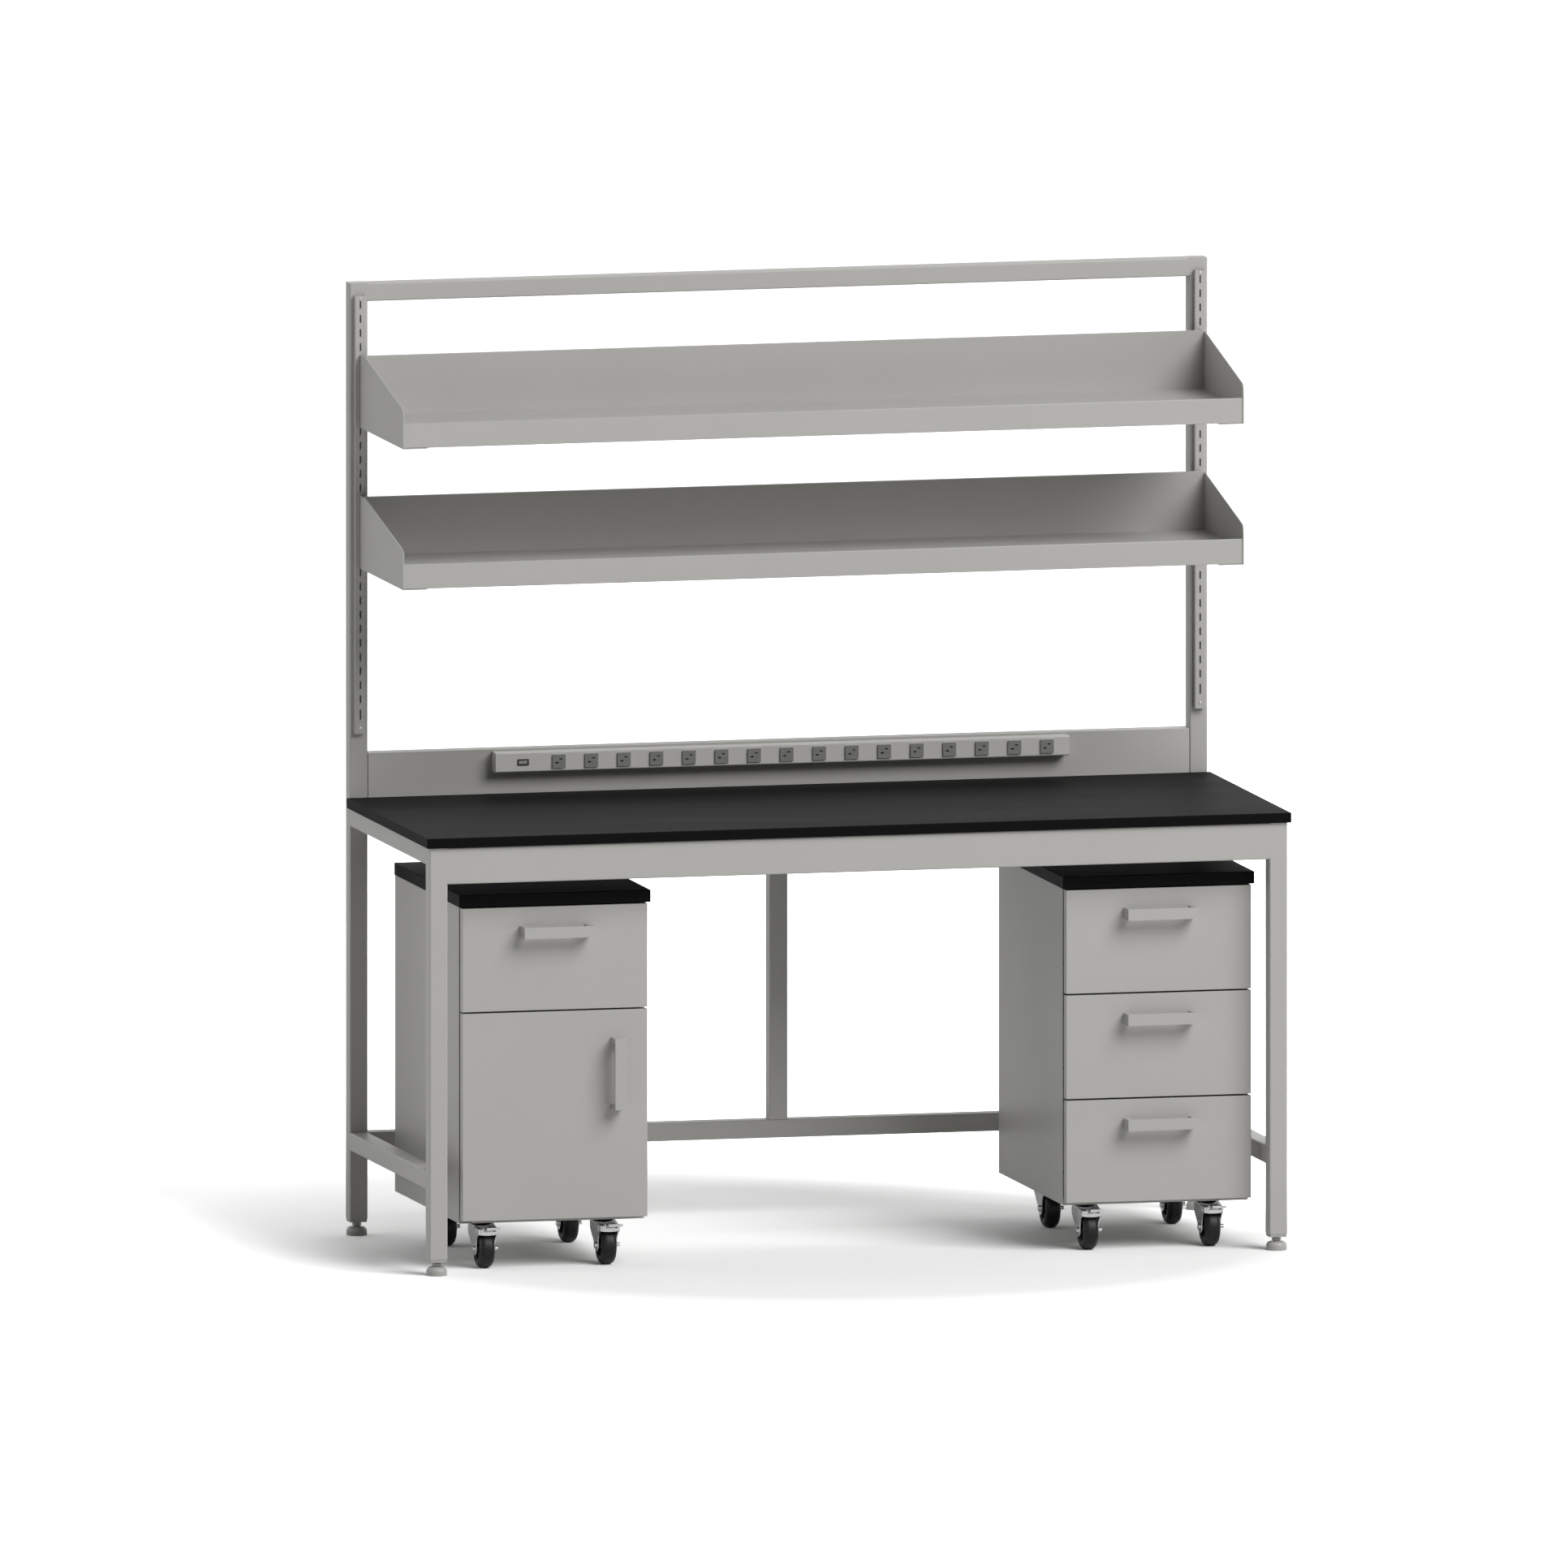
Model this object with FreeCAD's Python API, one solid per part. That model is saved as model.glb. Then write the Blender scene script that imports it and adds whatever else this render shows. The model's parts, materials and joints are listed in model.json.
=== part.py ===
"""Lab bench with reagent shelves: a tube-frame bench with a black worktop, two hook-on
shelves, an outlet strip and two mobile pedestals.

Millimetres. The pieces are drawn with x measured from the bench's middle, y measured
backwards from the front faces of the front legs, and z up from the floor. Saving moves
them back by Y_ORIGIN, so that the origin is the middle of the footprint, on the floor.
"""
import FreeCAD, Part
import math
import os

V = FreeCAD.Vector

# ---- Frame -----------------------------------------------------------------------
WIDTH = 1828.8            # over the legs, 72 in
TUBE = 38.1               # square tube, 1 1/2 in
TUBE_WALL = 2.0
TUBE_CORNER = 3.0
WELD_REACH = 2.4          # how far a flush weld fills the groove beside a rounded edge
POST_FRONT = 693.6        # front faces of the rear posts
POST_TOP = 1988.0
TUBE_BOTTOM = 34.5        # cut end of every leg
APRON_HEIGHT = 76.2
STRETCHER_TOP = 216.1

# ---- Worktop and back panel ------------------------------------------------------
WORKTOP_TOP = 914.4       # 36 in
WORKTOP_THICK = 21.0
WORKTOP_OVERHANG = 7.0
WORKTOP_EDGE = 1.0        # chamfer along the edges
LEDGE = (60.0, 30.0, 3.0)  # rear tabs that the worktop rests on: width, reach, thickness
LEDGE_X = (-600.0, 0.0, 600.0)
PANEL_TOP = 1007.0
PANEL_SHEET = 1.5
PANEL_SEAM = 0.8          # gap between the panel and each post

# ---- Levelling feet --------------------------------------------------------------
PAD_R = 21.5
PAD_HEIGHT = 18.0
PAD_RIM = 8.0             # straight part of the pad's side
PAD_SHOULDER = (19.3, 14.6)
PAD_NECK_R = 8.5
STUD_R = 5.0
STUD_TOP = 72.0
HEX_FLATS = 17.0
HEX_Z = (20.5, 25.5)
SPINDLE_NECK_R = 7.0
PLUG_INSET = 1.0
PLUG_COLLAR = 6.2
PLUG_DEPTH = 20.0
THREAD_CLEARANCE = 0.05

# ---- Slotted standards -----------------------------------------------------------
STANDARD_WIDTH = 22.0
STANDARD_DEPTH = 14.0
STANDARD_SHEET = 2.0
STANDARD_Z = (1049.1, 1963.5)   # 36 in long
SLOT_PITCH = 29.4
SLOT_COUNT = 30
SLOT_TOP = 1953.0               # top of the first slot
SLOT_SIZE = (3.0, 16.0)
LAST_SLOT_HEIGHT = 21.0
SCREW_Z = (1061.5, 1958.5)
SCREW_R = 2.0
SCREW_HEAD = (2.6, 1.2)         # radius, height

# ---- Shelves ---------------------------------------------------------------------
SHELF_FLOOR = 1721.4            # upper surface of the upper tray
SHELF_DROP = 10 * SLOT_PITCH    # to the lower tray
SHELF_FRONT = 306.0
SHELF_BACK = 640.0              # front face of the tray's back
SHELF_SHEET = 1.6
LIP_UP = 21.0
LIP_DOWN = 31.0
TRAY_BACK_UP = 121.0
TRAY_HEM = 12.0
BRACKET_SHEET = 2.0
BRACKET_FRONT = 304.0
BRACKET_FLAT = 635.0            # where the flat top ends and the slant starts
BRACKET_UP = 119.0              # top edge above the tray floor
BRACKET_NOSE_UP = 49.3          # front corner above the tray floor
BRACKET_CORNER = 16.0
BRACKET_FLANGE = 50.0
HOOK_SLOTS = (4, 6, 8)
HOOK_NECK = 8.5
HOOK_DROP = 6.0
HOOK_THICK = 3.1

# ---- Outlet strip ----------------------------------------------------------------
STRIP_LENGTH = 1219.2           # 48 in
STRIP_DEPTH = 34.0
STRIP_Z = (962.0, 1003.0)
STRIP_WALL = 1.8
STRIP_CORNER = 3.0
END_CAP = 2.0
OUTLET_COUNT = 16
OUTLET_FIRST = 132.0            # from the strip's left end
OUTLET_PITCH = 69.4
OUTLET_FACE = 28.0
OUTLET_PROUD = 4.0
OUTLET_BODY = (25.6, 20.0)      # width behind the face, depth
OUTLET_CUT = 26.0
CONTACTS = ((3.7, 5.1, 6.6, 2.6), (-4.9, -2.9, 7.0, 3.2))   # x, z, width, height
KEYWAY = (4.0, -4.6, 4.4, 1.8)  # shallow slot for a plug's locating rib
CONTACT_DEPTH = 12.0
KEYWAY_DEPTH = 0.8
SWITCH_AT = 56.0                # from the strip's left end
BEZEL = (24.0, 13.0)
BEZEL_RIM = 2.6
BEZEL_PROUD = 2.0
BEZEL_DEPTH = 16.0
ROCKER_GAP = 0.35
ROCKER_TILT = 8.0               # degrees each side of the middle

# ---- Pedestals -------------------------------------------------------------------
PEDESTAL_X = {"left": -632.9, "right": 654.5}
BODY_WIDTH = 395.0
BODY_Y = (89.0, 645.0)
BODY_Z = (97.0, 760.0)
BODY_SHEET = 1.5
FRONT_RAIL = (18.0, 14.0)       # depth and height of the rails across the opening
SLAB_WIDTH = 408.4
SLAB_Y = (59.0, 625.0)
SLAB_THICK = 26.0
FRONT_WIDTH = 394.4
FRONT_Y = (59.0, 80.0)
FRONT_TOP = 757.5
FRONT_HEIGHTS = (216.0, 216.0, 213.5)
FRONT_GAP = 3.6
FRONT_SHEET = 1.2
FRONT_EDGE = 1.0                # rounding of the fronts' face edges
PULL_LENGTH = 149.5
PULL_WIDTH = 23.5
PULL_REACH = 38.0
PULL_BAR = 7.0
PULL_LEG = 10.5
PULL_DROP = 50.5                # centre below a drawer front's top edge
DOOR_PULL_X = 131.3             # from the pedestal's middle
DOOR_PULL_Z = 406.0

# ---- Drawers and door ------------------------------------------------------------
RUNNER_SPACE = 12.7
RUNNER_Y = (98.0, 598.0)
RUNNER_HEIGHT = 35.0
RUNNER_SHEET = 1.6
RUNNER_REACH = 10.0
SLIDE_Y = (96.0, 590.0)
SLIDE_CLEARANCE = 0.5
BOX_BACK = 590.0
BOX_SHEET = 1.2
BOX_FOOT = 12.0                 # box bottom above the front's bottom edge
BOX_HEAD = 42.0                 # box rim below the front's top edge
RUNNER_RISE = 30.0              # runner centre above the box bottom
HINGE_INSET = 11.0              # pivot from the door's left edge
HINGE_Y = 70.0
HINGE_R = 3.0
HINGE_CLEARANCE = 0.05
HINGE_IN_DOOR = 12.0
HINGE_PLATE = 2.2
HINGE_BLOCK = (20.0, 16.0)

# ---- Casters ---------------------------------------------------------------------
CASTER_X = (-130.0, 130.0)      # from the middle of the pair
CASTER_ROWS = {"front": (-6.5, 153.0), "rear": (4.5, 527.0)}   # pair's middle, and y
TRAIL = 32.0
WHEEL_R = 40.0                  # 80 mm wheel
WHEEL_WIDTH = 32.0
TREAD_CORNER = 11.0
RIM_R = 27.5
HUB_R = 9.0
HUB_WIDTH = 35.0
AXLE_R = 3.0
AXLE_CLEARANCE = 0.05
BOLT_HEAD = (11.0, 4.2)         # hexagon: across flats, thickness
NUT_R = 4.2                     # round sleeve nut on the other end
NUT_LENGTH = 9.5
NUT_DOME = 2.0
PLATE = (64.0, 3.0)             # mounting plate: side, thickness
RACE_R = 24.0
RACE_EDGE = 2.4
CROWN_TOP = 90.0
CROWN_R = 25.5                  # round the swivel axis
CROWN_FALL_Y = -10.0            # in front of this the crown falls
CROWN_FRONT = 84.0              # its height at the front
FORK_SHEET = 2.5
FORK_HALF = 20.5                # half of the fork's outside width at the front and the axle
FORK_FRONT = -70.0
LEG_BACK = (10.0, 75.0)         # where the rear curve starts
LEG_REAR_BOW = (1.5, 56.0)
LEG_FRONT_BOW = (-50.5, 58.0)
LEG_STRAIGHT = 52.0             # below this the legs are parallel
LIP_BOTTOM = (73.0, 71.0)       # at its ends and in the middle
LIP_PIP = (-14.5, 79.5, 3.2)    # pressed pip in the lip: x, z, radius
BOSS_R = 14.0
KINGPIN_R = 5.0
SWIVEL_GAP = 0.4
PEDAL_PIVOT = (-56.0, 80.0)
PEDAL_PIN_R = 2.5
PEDAL_HUB_R = 4.4
PEDAL_SPAN = (-5.0, 15.0)
PEDAL_TOE_X = (-5.0, 25.0)
PEDAL_TOE_Y = (-79.0, -70.8)
PEDAL_Z = (82.6, 85.0)
PEDAL_CURL = (2.4, 87.8)        # thickness and top of the turned-up edge
SHOE_Y = (-58.0, -54.0)
SHOE_BOTTOM = 74.0
WINDOW_X = (-9.0, 16.0)         # opening in the fork that the pedal passes
WINDOW_REAR = -50.0
WINDOW_FLOOR = 78.4

HALF = WIDTH / 2
POST_BACK = POST_FRONT + TUBE
UNDERSIDE = WORKTOP_TOP - WORKTOP_THICK
FOOT_Y = (TUBE / 2, POST_FRONT + TUBE / 2)
Y_ORIGIN = (FOOT_Y[1] + PAD_R - WORKTOP_OVERHANG) / 2
STANDARD_X = HALF - TUBE / 2


# ---- Shape helpers ---------------------------------------------------------------
def block(x, y, z):
    """A box between pairs of x, y and z values."""
    return Part.makeBox(x[1] - x[0], y[1] - y[0], z[1] - z[0], V(x[0], y[0], z[0]))


def cylinder(radius, start, end):
    """A round rod between two points."""
    along = V(*end) - V(*start)
    return Part.makeCylinder(radius, along.Length, V(*start), along)


def hexagon(flats, start, end):
    """A hexagonal bar between two points, flats apart by the given size."""
    along = V(*end) - V(*start)
    turn = FreeCAD.Rotation(V(0, 0, 1), along)
    corner_r = flats / math.sqrt(3)
    corners = [V(corner_r * math.cos(math.radians(60 * k)),
                 corner_r * math.sin(math.radians(60 * k)), 0) for k in range(7)]
    wire = Part.makePolygon([V(*start) + turn.multVec(c) for c in corners])
    return Part.Face(wire).extrude(along)


def prism_x(outline, x):
    """A (y, z) outline pulled along x."""
    points = [V(x[0], y, z) for y, z in outline]
    return Part.Face(Part.makePolygon(points + points[:1])).extrude(V(x[1] - x[0], 0, 0))


def edges_along(shape, direction, where=lambda point: True):
    """The straight edges that run along a direction and whose middle passes a test."""
    found = []
    for edge in shape.Edges:
        if not isinstance(edge.Curve, Part.Line):
            continue
        straight = abs(edge.Curve.Direction.dot(direction)) > 0.999
        if straight and where(edge.CenterOfMass):
            found.append(edge)
    return found


def rounded(shape, radius, direction, where=lambda point: True):
    return shape.makeFillet(radius, edges_along(shape, direction, where))


def fused(solids):
    whole = solids[0].multiFuse(solids[1:]) if len(solids) > 1 else solids[0]
    return whole.removeSplitter()


def grown(pair, by):
    return (pair[0] - by, pair[1] + by)


def square_tube(x, y, z, direction, capped=0.0):
    """Rounded rectangular tube; capped closes its far end with a plate that thick."""
    outer = rounded(block(x, y, z), TUBE_CORNER, direction)
    sizes = [x, y, z]
    bore = []
    for axis, pair in enumerate(sizes):
        runs_along = abs(direction[axis]) > 0.5
        bore.append((pair[0], pair[1] - capped) if runs_along else grown(pair, -TUBE_WALL))
    inner = rounded(block(*bore), TUBE_CORNER - TUBE_WALL, direction)
    return outer.cut(inner)


def save(node, solids):
    """Write one node; every piece in it must be one valid closed solid."""
    pieces = [solid for shape in solids for solid in shape.Solids]
    for piece in pieces:
        if not piece.isValid() or piece.Volume <= 0:
            raise ValueError("bad solid in " + node)
    shape = pieces[0] if len(pieces) == 1 else Part.makeCompound(pieces)
    shape = shape.copy()
    shape.translate(V(0, -Y_ORIGIN, 0))
    shape.exportStep("parts/" + node + ".step")
    print("%-28s %2d solid(s)" % (node, len(pieces)))


ALONG_X = V(1, 0, 0)
ALONG_Y = V(0, 1, 0)
ALONG_Z = V(0, 0, 1)
LEFT_LEG = (-HALF, -HALF + TUBE)
RIGHT_LEG = (HALF - TUBE, HALF)
BETWEEN = (-HALF + TUBE, HALF - TUBE)
FRONT_LEG_Y = (0.0, TUBE)
POST_Y = (POST_FRONT, POST_BACK)


# ---- Bench frame -----------------------------------------------------------------
def front_legs():
    return [square_tube(x, FRONT_LEG_Y, (TUBE_BOTTOM, UNDERSIDE), ALONG_Z)
            for x in (LEFT_LEG, RIGHT_LEG)]


def end_welds(x, y, z, direction):
    """Weld runs, ground flush, in the grooves where a rail's ends meet the legs' round edges.

    A side rail's inner groove holds the cross rail's run, so it has none of its own.
    """
    legs = Part.makeCompound([rounded(block(leg_x, leg_y, (0, POST_TOP + 1)), TUBE_CORNER, ALONG_Z)
                              for leg_x in (LEFT_LEG, RIGHT_LEG)
                              for leg_y in (FRONT_LEG_Y, POST_Y)])
    along, across = (0, 1) if abs(direction.x) > 0.5 else (1, 0)
    sizes = [x, y, z]
    runs = []
    for end, outwards in zip(sizes[along], (-1, 1)):
        for side, inwards in zip(sizes[across], (1, -1)):
            if along == 1 and abs(side) < HALF:
                continue
            run = [None, None, grown(z, -TUBE_CORNER)]
            run[along] = sorted((end, end + outwards * WELD_REACH))
            run[across] = sorted((side, side + inwards * TUBE_CORNER))
            runs.append(block(*run).cut(legs))
    return runs


def welded_rail(x, y, z, direction):
    return fused([square_tube(x, y, z, direction)] + end_welds(x, y, z, direction))


def screw_holes(side):
    return [cylinder(SCREW_R + THREAD_CLEARANCE, (side * STANDARD_X, POST_FRONT - 20, z),
                     (side * STANDARD_X, POST_FRONT + TUBE_WALL + 1, z)) for z in SCREW_Z]


def rear_posts():
    posts = []
    for side, x in ((-1, LEFT_LEG), (1, RIGHT_LEG)):
        post = square_tube(x, POST_Y, (TUBE_BOTTOM, POST_TOP), ALONG_Z, capped=TUBE_WALL)
        posts.append(post.cut(Part.makeCompound(screw_holes(side))))
    return posts


def top_crossbar():
    return [welded_rail(BETWEEN, POST_Y, (POST_TOP - TUBE, POST_TOP), ALONG_X)]


def front_apron():
    return [welded_rail(BETWEEN, FRONT_LEG_Y, (UNDERSIDE - APRON_HEIGHT, UNDERSIDE), ALONG_X)]


def side_rails():
    return [welded_rail(x, (TUBE, POST_FRONT), (top - TUBE, top), ALONG_Y)
            for x in (LEFT_LEG, RIGHT_LEG) for top in (UNDERSIDE, STRETCHER_TOP)]


def ledge_tabs():
    """Angles welded to the rear top rail, for the worktop's rear edge to rest on."""
    width, reach, thick = LEDGE
    tabs = []
    for middle in LEDGE_X:
        x = (middle - width / 2, middle + width / 2)
        tabs.append(block(x, (POST_FRONT - reach, POST_FRONT), (UNDERSIDE - thick, UNDERSIDE)))
        tabs.append(block(x, (POST_FRONT - thick, POST_FRONT),
                          (UNDERSIDE - TUBE + TUBE_CORNER, UNDERSIDE)))
    return tabs


def rear_rails():
    """Top rail with its worktop tabs, low stretcher and the support between them."""
    top_rail = welded_rail(BETWEEN, POST_Y, (UNDERSIDE - TUBE, UNDERSIDE), ALONG_X)
    stretcher = welded_rail(BETWEEN, POST_Y, (STRETCHER_TOP - TUBE, STRETCHER_TOP), ALONG_X)
    support = square_tube((-TUBE / 2, TUBE / 2), POST_Y, (STRETCHER_TOP, UNDERSIDE - TUBE),
                          ALONG_Z)
    return [fused([top_rail] + ledge_tabs()), stretcher, support]


def worktop():
    x = (-HALF - WORKTOP_OVERHANG, HALF + WORKTOP_OVERHANG)
    slab = block(x, (-WORKTOP_OVERHANG, POST_FRONT), (UNDERSIDE, WORKTOP_TOP))
    exposed = [edge for edge in slab.Edges if edge.CenterOfMass.y < POST_FRONT - 1]
    return [slab.makeChamfer(WORKTOP_EDGE, exposed)]


def back_panel():
    """Folded steel box standing behind the worktop, open underneath."""
    x = grown(BETWEEN, -PANEL_SEAM)
    z = (UNDERSIDE, PANEL_TOP)
    outer = block(x, POST_Y, z)
    inner = block(grown(x, -PANEL_SHEET), grown(POST_Y, -PANEL_SHEET),
                  (z[0] - 1, z[1] - PANEL_SHEET))
    return [outer.cut(inner)]


# ---- Slotted standards and their screws ------------------------------------------
def slot_z(index):
    top = SLOT_TOP - index * SLOT_PITCH
    height = LAST_SLOT_HEIGHT if index == SLOT_COUNT - 1 else SLOT_SIZE[1]
    return (top - height, top)


def slotted_standards():
    channels = []
    y = (POST_FRONT - STANDARD_DEPTH, POST_FRONT)
    for side in (-1, 1):
        x = (side * STANDARD_X - STANDARD_WIDTH / 2, side * STANDARD_X + STANDARD_WIDTH / 2)
        channel = block(x, y, STANDARD_Z)
        channel = rounded(channel, 1.0, ALONG_Z, lambda p: p.y < y[0] + 1)
        bore = block(grown(x, -STANDARD_SHEET), (y[0] + STANDARD_SHEET, y[1] + 1),
                     grown(STANDARD_Z, 1))
        middle = side * STANDARD_X
        slots = [block((middle - SLOT_SIZE[0] / 2, middle + SLOT_SIZE[0] / 2),
                       (y[0] - 1, y[0] + STANDARD_SHEET + 1), slot_z(k))
                 for k in range(SLOT_COUNT)]
        channels.append(channel.cut(Part.makeCompound([bore] + slots + screw_holes(side))))
    return channels


def bench_screws():
    """The pan-head screws that hold each standard to its post."""
    face = POST_FRONT - STANDARD_DEPTH
    radius, height = SCREW_HEAD
    screws = []
    for side in (-1, 1):
        for z in SCREW_Z:
            x = side * STANDARD_X
            head = cylinder(radius, (x, face - height, z), (x, face, z))
            head = head.makeFillet(height * 0.6, [e for e in head.Edges
                                                  if abs(e.CenterOfMass.y - face + height) < 0.01
                                                  and e.Closed])
            shank = cylinder(SCREW_R, (x, face - height / 2, z), (x, POST_FRONT + TUBE_WALL, z))
            screws.append(fused([head, shank]))
    return screws


# ---- Levelling feet --------------------------------------------------------------
def leg_end_plugs():
    plugs = []
    for x in (-STANDARD_X, STANDARD_X):
        for y in FOOT_Y:
            collar_half = TUBE / 2 - PLUG_INSET
            insert_half = TUBE / 2 - TUBE_WALL - 0.2
            collar = block((x - collar_half, x + collar_half), (y - collar_half, y + collar_half),
                           (TUBE_BOTTOM - PLUG_COLLAR, TUBE_BOTTOM))
            insert = block((x - insert_half, x + insert_half), (y - insert_half, y + insert_half),
                           (TUBE_BOTTOM, TUBE_BOTTOM + PLUG_DEPTH))
            whole = fused([rounded(collar, TUBE_CORNER, ALONG_Z),
                           rounded(insert, TUBE_CORNER - TUBE_WALL, ALONG_Z)])
            thread = cylinder(STUD_R + THREAD_CLEARANCE, (x, y, 0),
                              (x, y, TUBE_BOTTOM + PLUG_DEPTH + 1))
            plugs.append(whole.cut(thread))
    return plugs


def levelling_foot(x, y):
    """Domed pad and the threaded spindle with its hexagon."""
    shoulder_r, shoulder_z = PAD_SHOULDER
    dome = Part.Arc(V(PAD_R, 0, PAD_RIM), V(shoulder_r, 0, shoulder_z),
                    V(PAD_NECK_R, 0, PAD_HEIGHT))
    outline = [Part.makeLine(V(0, 0, 0), V(PAD_R, 0, 0)),
               Part.makeLine(V(PAD_R, 0, 0), V(PAD_R, 0, PAD_RIM)),
               dome.toShape(),
               Part.makeLine(V(PAD_NECK_R, 0, PAD_HEIGHT), V(0, 0, PAD_HEIGHT)),
               Part.makeLine(V(0, 0, PAD_HEIGHT), V(0, 0, 0))]
    pad = Part.Face(Part.Wire(outline)).revolve(V(0, 0, 0), ALONG_Z, 360)
    spindle = fused([cylinder(STUD_R, (0, 0, PAD_HEIGHT), (0, 0, STUD_TOP)),
                     hexagon(HEX_FLATS, (0, 0, HEX_Z[0]), (0, 0, HEX_Z[1])),
                     cylinder(SPINDLE_NECK_R, (0, 0, PAD_HEIGHT), (0, 0, HEX_Z[0]))])
    for shape in (pad, spindle):
        shape.translate(V(x, y, 0))
    return [pad, spindle]


# ---- Shelves ---------------------------------------------------------------------
def shelf_tray(floor):
    """One folded sheet: double front lip, floor, and a back with a hem behind it."""
    half = STANDARD_X - BRACKET_SHEET / 2
    x = (-half, half)
    t = SHELF_SHEET
    front = SHELF_FRONT
    back = SHELF_BACK
    low = floor - LIP_DOWN
    high = floor + TRAY_BACK_UP
    folds = [((front, back + t), (floor - t, floor)),
             ((front, front + t), (low, floor + LIP_UP)),
             ((front, front + 2 * t), (floor - t, floor + LIP_UP)),
             ((front, front + TRAY_HEM), (low, low + t)),
             ((back, back + t), (low, high)),
             ((back, back + TRAY_HEM), (high - t, high)),
             ((back, back + TRAY_HEM), (low, low + t))]
    tray = fused([block(x, y, z) for y, z in folds])
    outside = edges_along(tray, ALONG_X, lambda p: p.y < front + 0.01)
    return [tray.makeFillet(t * 0.9, outside)]


def shelf_brackets(floor, first_slot):
    """The two end plates: a tapered web, a flange under the tray, and three hooks."""
    low = floor - LIP_DOWN - BRACKET_SHEET
    face = POST_FRONT - STANDARD_DEPTH
    rear = face - 0.3
    web_rear = face + STANDARD_SHEET + 0.3
    outline = [(rear, low), (rear, floor + BRACKET_UP), (BRACKET_FLAT, floor + BRACKET_UP),
               (BRACKET_FRONT, floor + BRACKET_NOSE_UP), (BRACKET_FRONT, low)]
    brackets = []
    for side in (-1, 1):
        middle = side * STANDARD_X
        x = (middle - BRACKET_SHEET / 2, middle + BRACKET_SHEET / 2)
        plate = prism_x(outline, x)
        plate = rounded(plate, BRACKET_CORNER, ALONG_X,
                        lambda p: p.y < BRACKET_FRONT + 1 and p.z > floor)
        inner_edge = x[1] if side < 0 else x[0] - BRACKET_FLANGE
        flange = block((inner_edge, inner_edge + BRACKET_FLANGE), (BRACKET_FRONT + 1, rear - 9),
                       (low, low + BRACKET_SHEET))
        hooks = []
        for slot in HOOK_SLOTS:
            seat = slot_z(slot + first_slot)[0] + 0.3
            hooks.append(block(x, (rear - 1, web_rear + HOOK_THICK), (seat, seat + HOOK_NECK)))
            hooks.append(block(x, (web_rear, web_rear + HOOK_THICK),
                               (seat - HOOK_DROP, seat + HOOK_NECK)))
        brackets.append(fused([plate, flange] + hooks))
    return brackets


# ---- Outlet strip ----------------------------------------------------------------
STRIP_X = (-STRIP_LENGTH / 2, STRIP_LENGTH / 2)
STRIP_FACE = POST_FRONT - STRIP_DEPTH
STRIP_MIDDLE = sum(STRIP_Z) / 2
SWITCH_X = STRIP_X[0] + SWITCH_AT


def outlet_x():
    return [STRIP_X[0] + OUTLET_FIRST + k * OUTLET_PITCH for k in range(OUTLET_COUNT)]


def around(x, z, width, height, y):
    """A box centred on a point of the strip's face."""
    return block((x - width / 2, x + width / 2), y, (z - height / 2, z + height / 2))


def outlet_strip_housing():
    y = (STRIP_FACE, POST_FRONT)
    outer = rounded(block(STRIP_X, y, STRIP_Z), STRIP_CORNER, ALONG_X,
                    lambda p: p.y < STRIP_FACE + 1)
    inner = block(STRIP_X, grown(y, -STRIP_WALL), grown(STRIP_Z, -STRIP_WALL))
    cut_y = (STRIP_FACE - 1, STRIP_FACE + STRIP_WALL + 1)
    cuts = [around(x, STRIP_MIDDLE, OUTLET_CUT, OUTLET_CUT, cut_y) for x in outlet_x()]
    cuts.append(around(SWITCH_X, STRIP_MIDDLE, BEZEL[0] - 2.4, BEZEL[1] - 2.4, cut_y))
    body = outer.cut(Part.makeCompound([inner] + cuts))
    caps = []
    for x in ((STRIP_X[0] - END_CAP, STRIP_X[0]), (STRIP_X[1], STRIP_X[1] + END_CAP)):
        caps.append(rounded(block(x, y, STRIP_Z), STRIP_CORNER, ALONG_X,
                            lambda p: p.y < STRIP_FACE + 1))
    return [body] + caps


def outlet_sockets():
    """Sixteen identical sockets: two contact slots, set diagonally, and a shallow keyway."""
    sockets = []
    y_face = STRIP_FACE - OUTLET_PROUD
    for x in outlet_x():
        face = around(x, STRIP_MIDDLE, OUTLET_FACE, OUTLET_FACE, (y_face, STRIP_FACE))
        face = rounded(face, 1.2, ALONG_Y)
        body = around(x, STRIP_MIDDLE, OUTLET_BODY[0], OUTLET_BODY[0],
                      (STRIP_FACE, STRIP_FACE + OUTLET_BODY[1]))
        depths = [(slot, CONTACT_DEPTH) for slot in CONTACTS] + [(KEYWAY, KEYWAY_DEPTH)]
        slots = []
        for (dx, dz, width, height), depth in depths:
            slot = around(x + dx, STRIP_MIDDLE + dz, width, height, (y_face - 1, y_face + depth))
            slots.append(rounded(slot, height * 0.48, ALONG_Y))
        sockets.append(fused([face, body]).cut(Part.makeCompound(slots)))
    return sockets


def switch_bezel():
    """Frame of the strip's rocker switch, with its case behind the wall."""
    well_y = (STRIP_FACE - BEZEL_PROUD - 1, STRIP_FACE + 9)
    frame = around(SWITCH_X, STRIP_MIDDLE, *BEZEL, (STRIP_FACE - BEZEL_PROUD, STRIP_FACE))
    case = around(SWITCH_X, STRIP_MIDDLE, BEZEL[0] - 2.8, BEZEL[1] - 2.8,
                  (STRIP_FACE, STRIP_FACE + BEZEL_DEPTH))
    well = around(SWITCH_X, STRIP_MIDDLE, BEZEL[0] - 2 * BEZEL_RIM, BEZEL[1] - 2 * BEZEL_RIM,
                  well_y)
    return [fused([rounded(frame, 1.0, ALONG_Y), case]).cut(well)]


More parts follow.
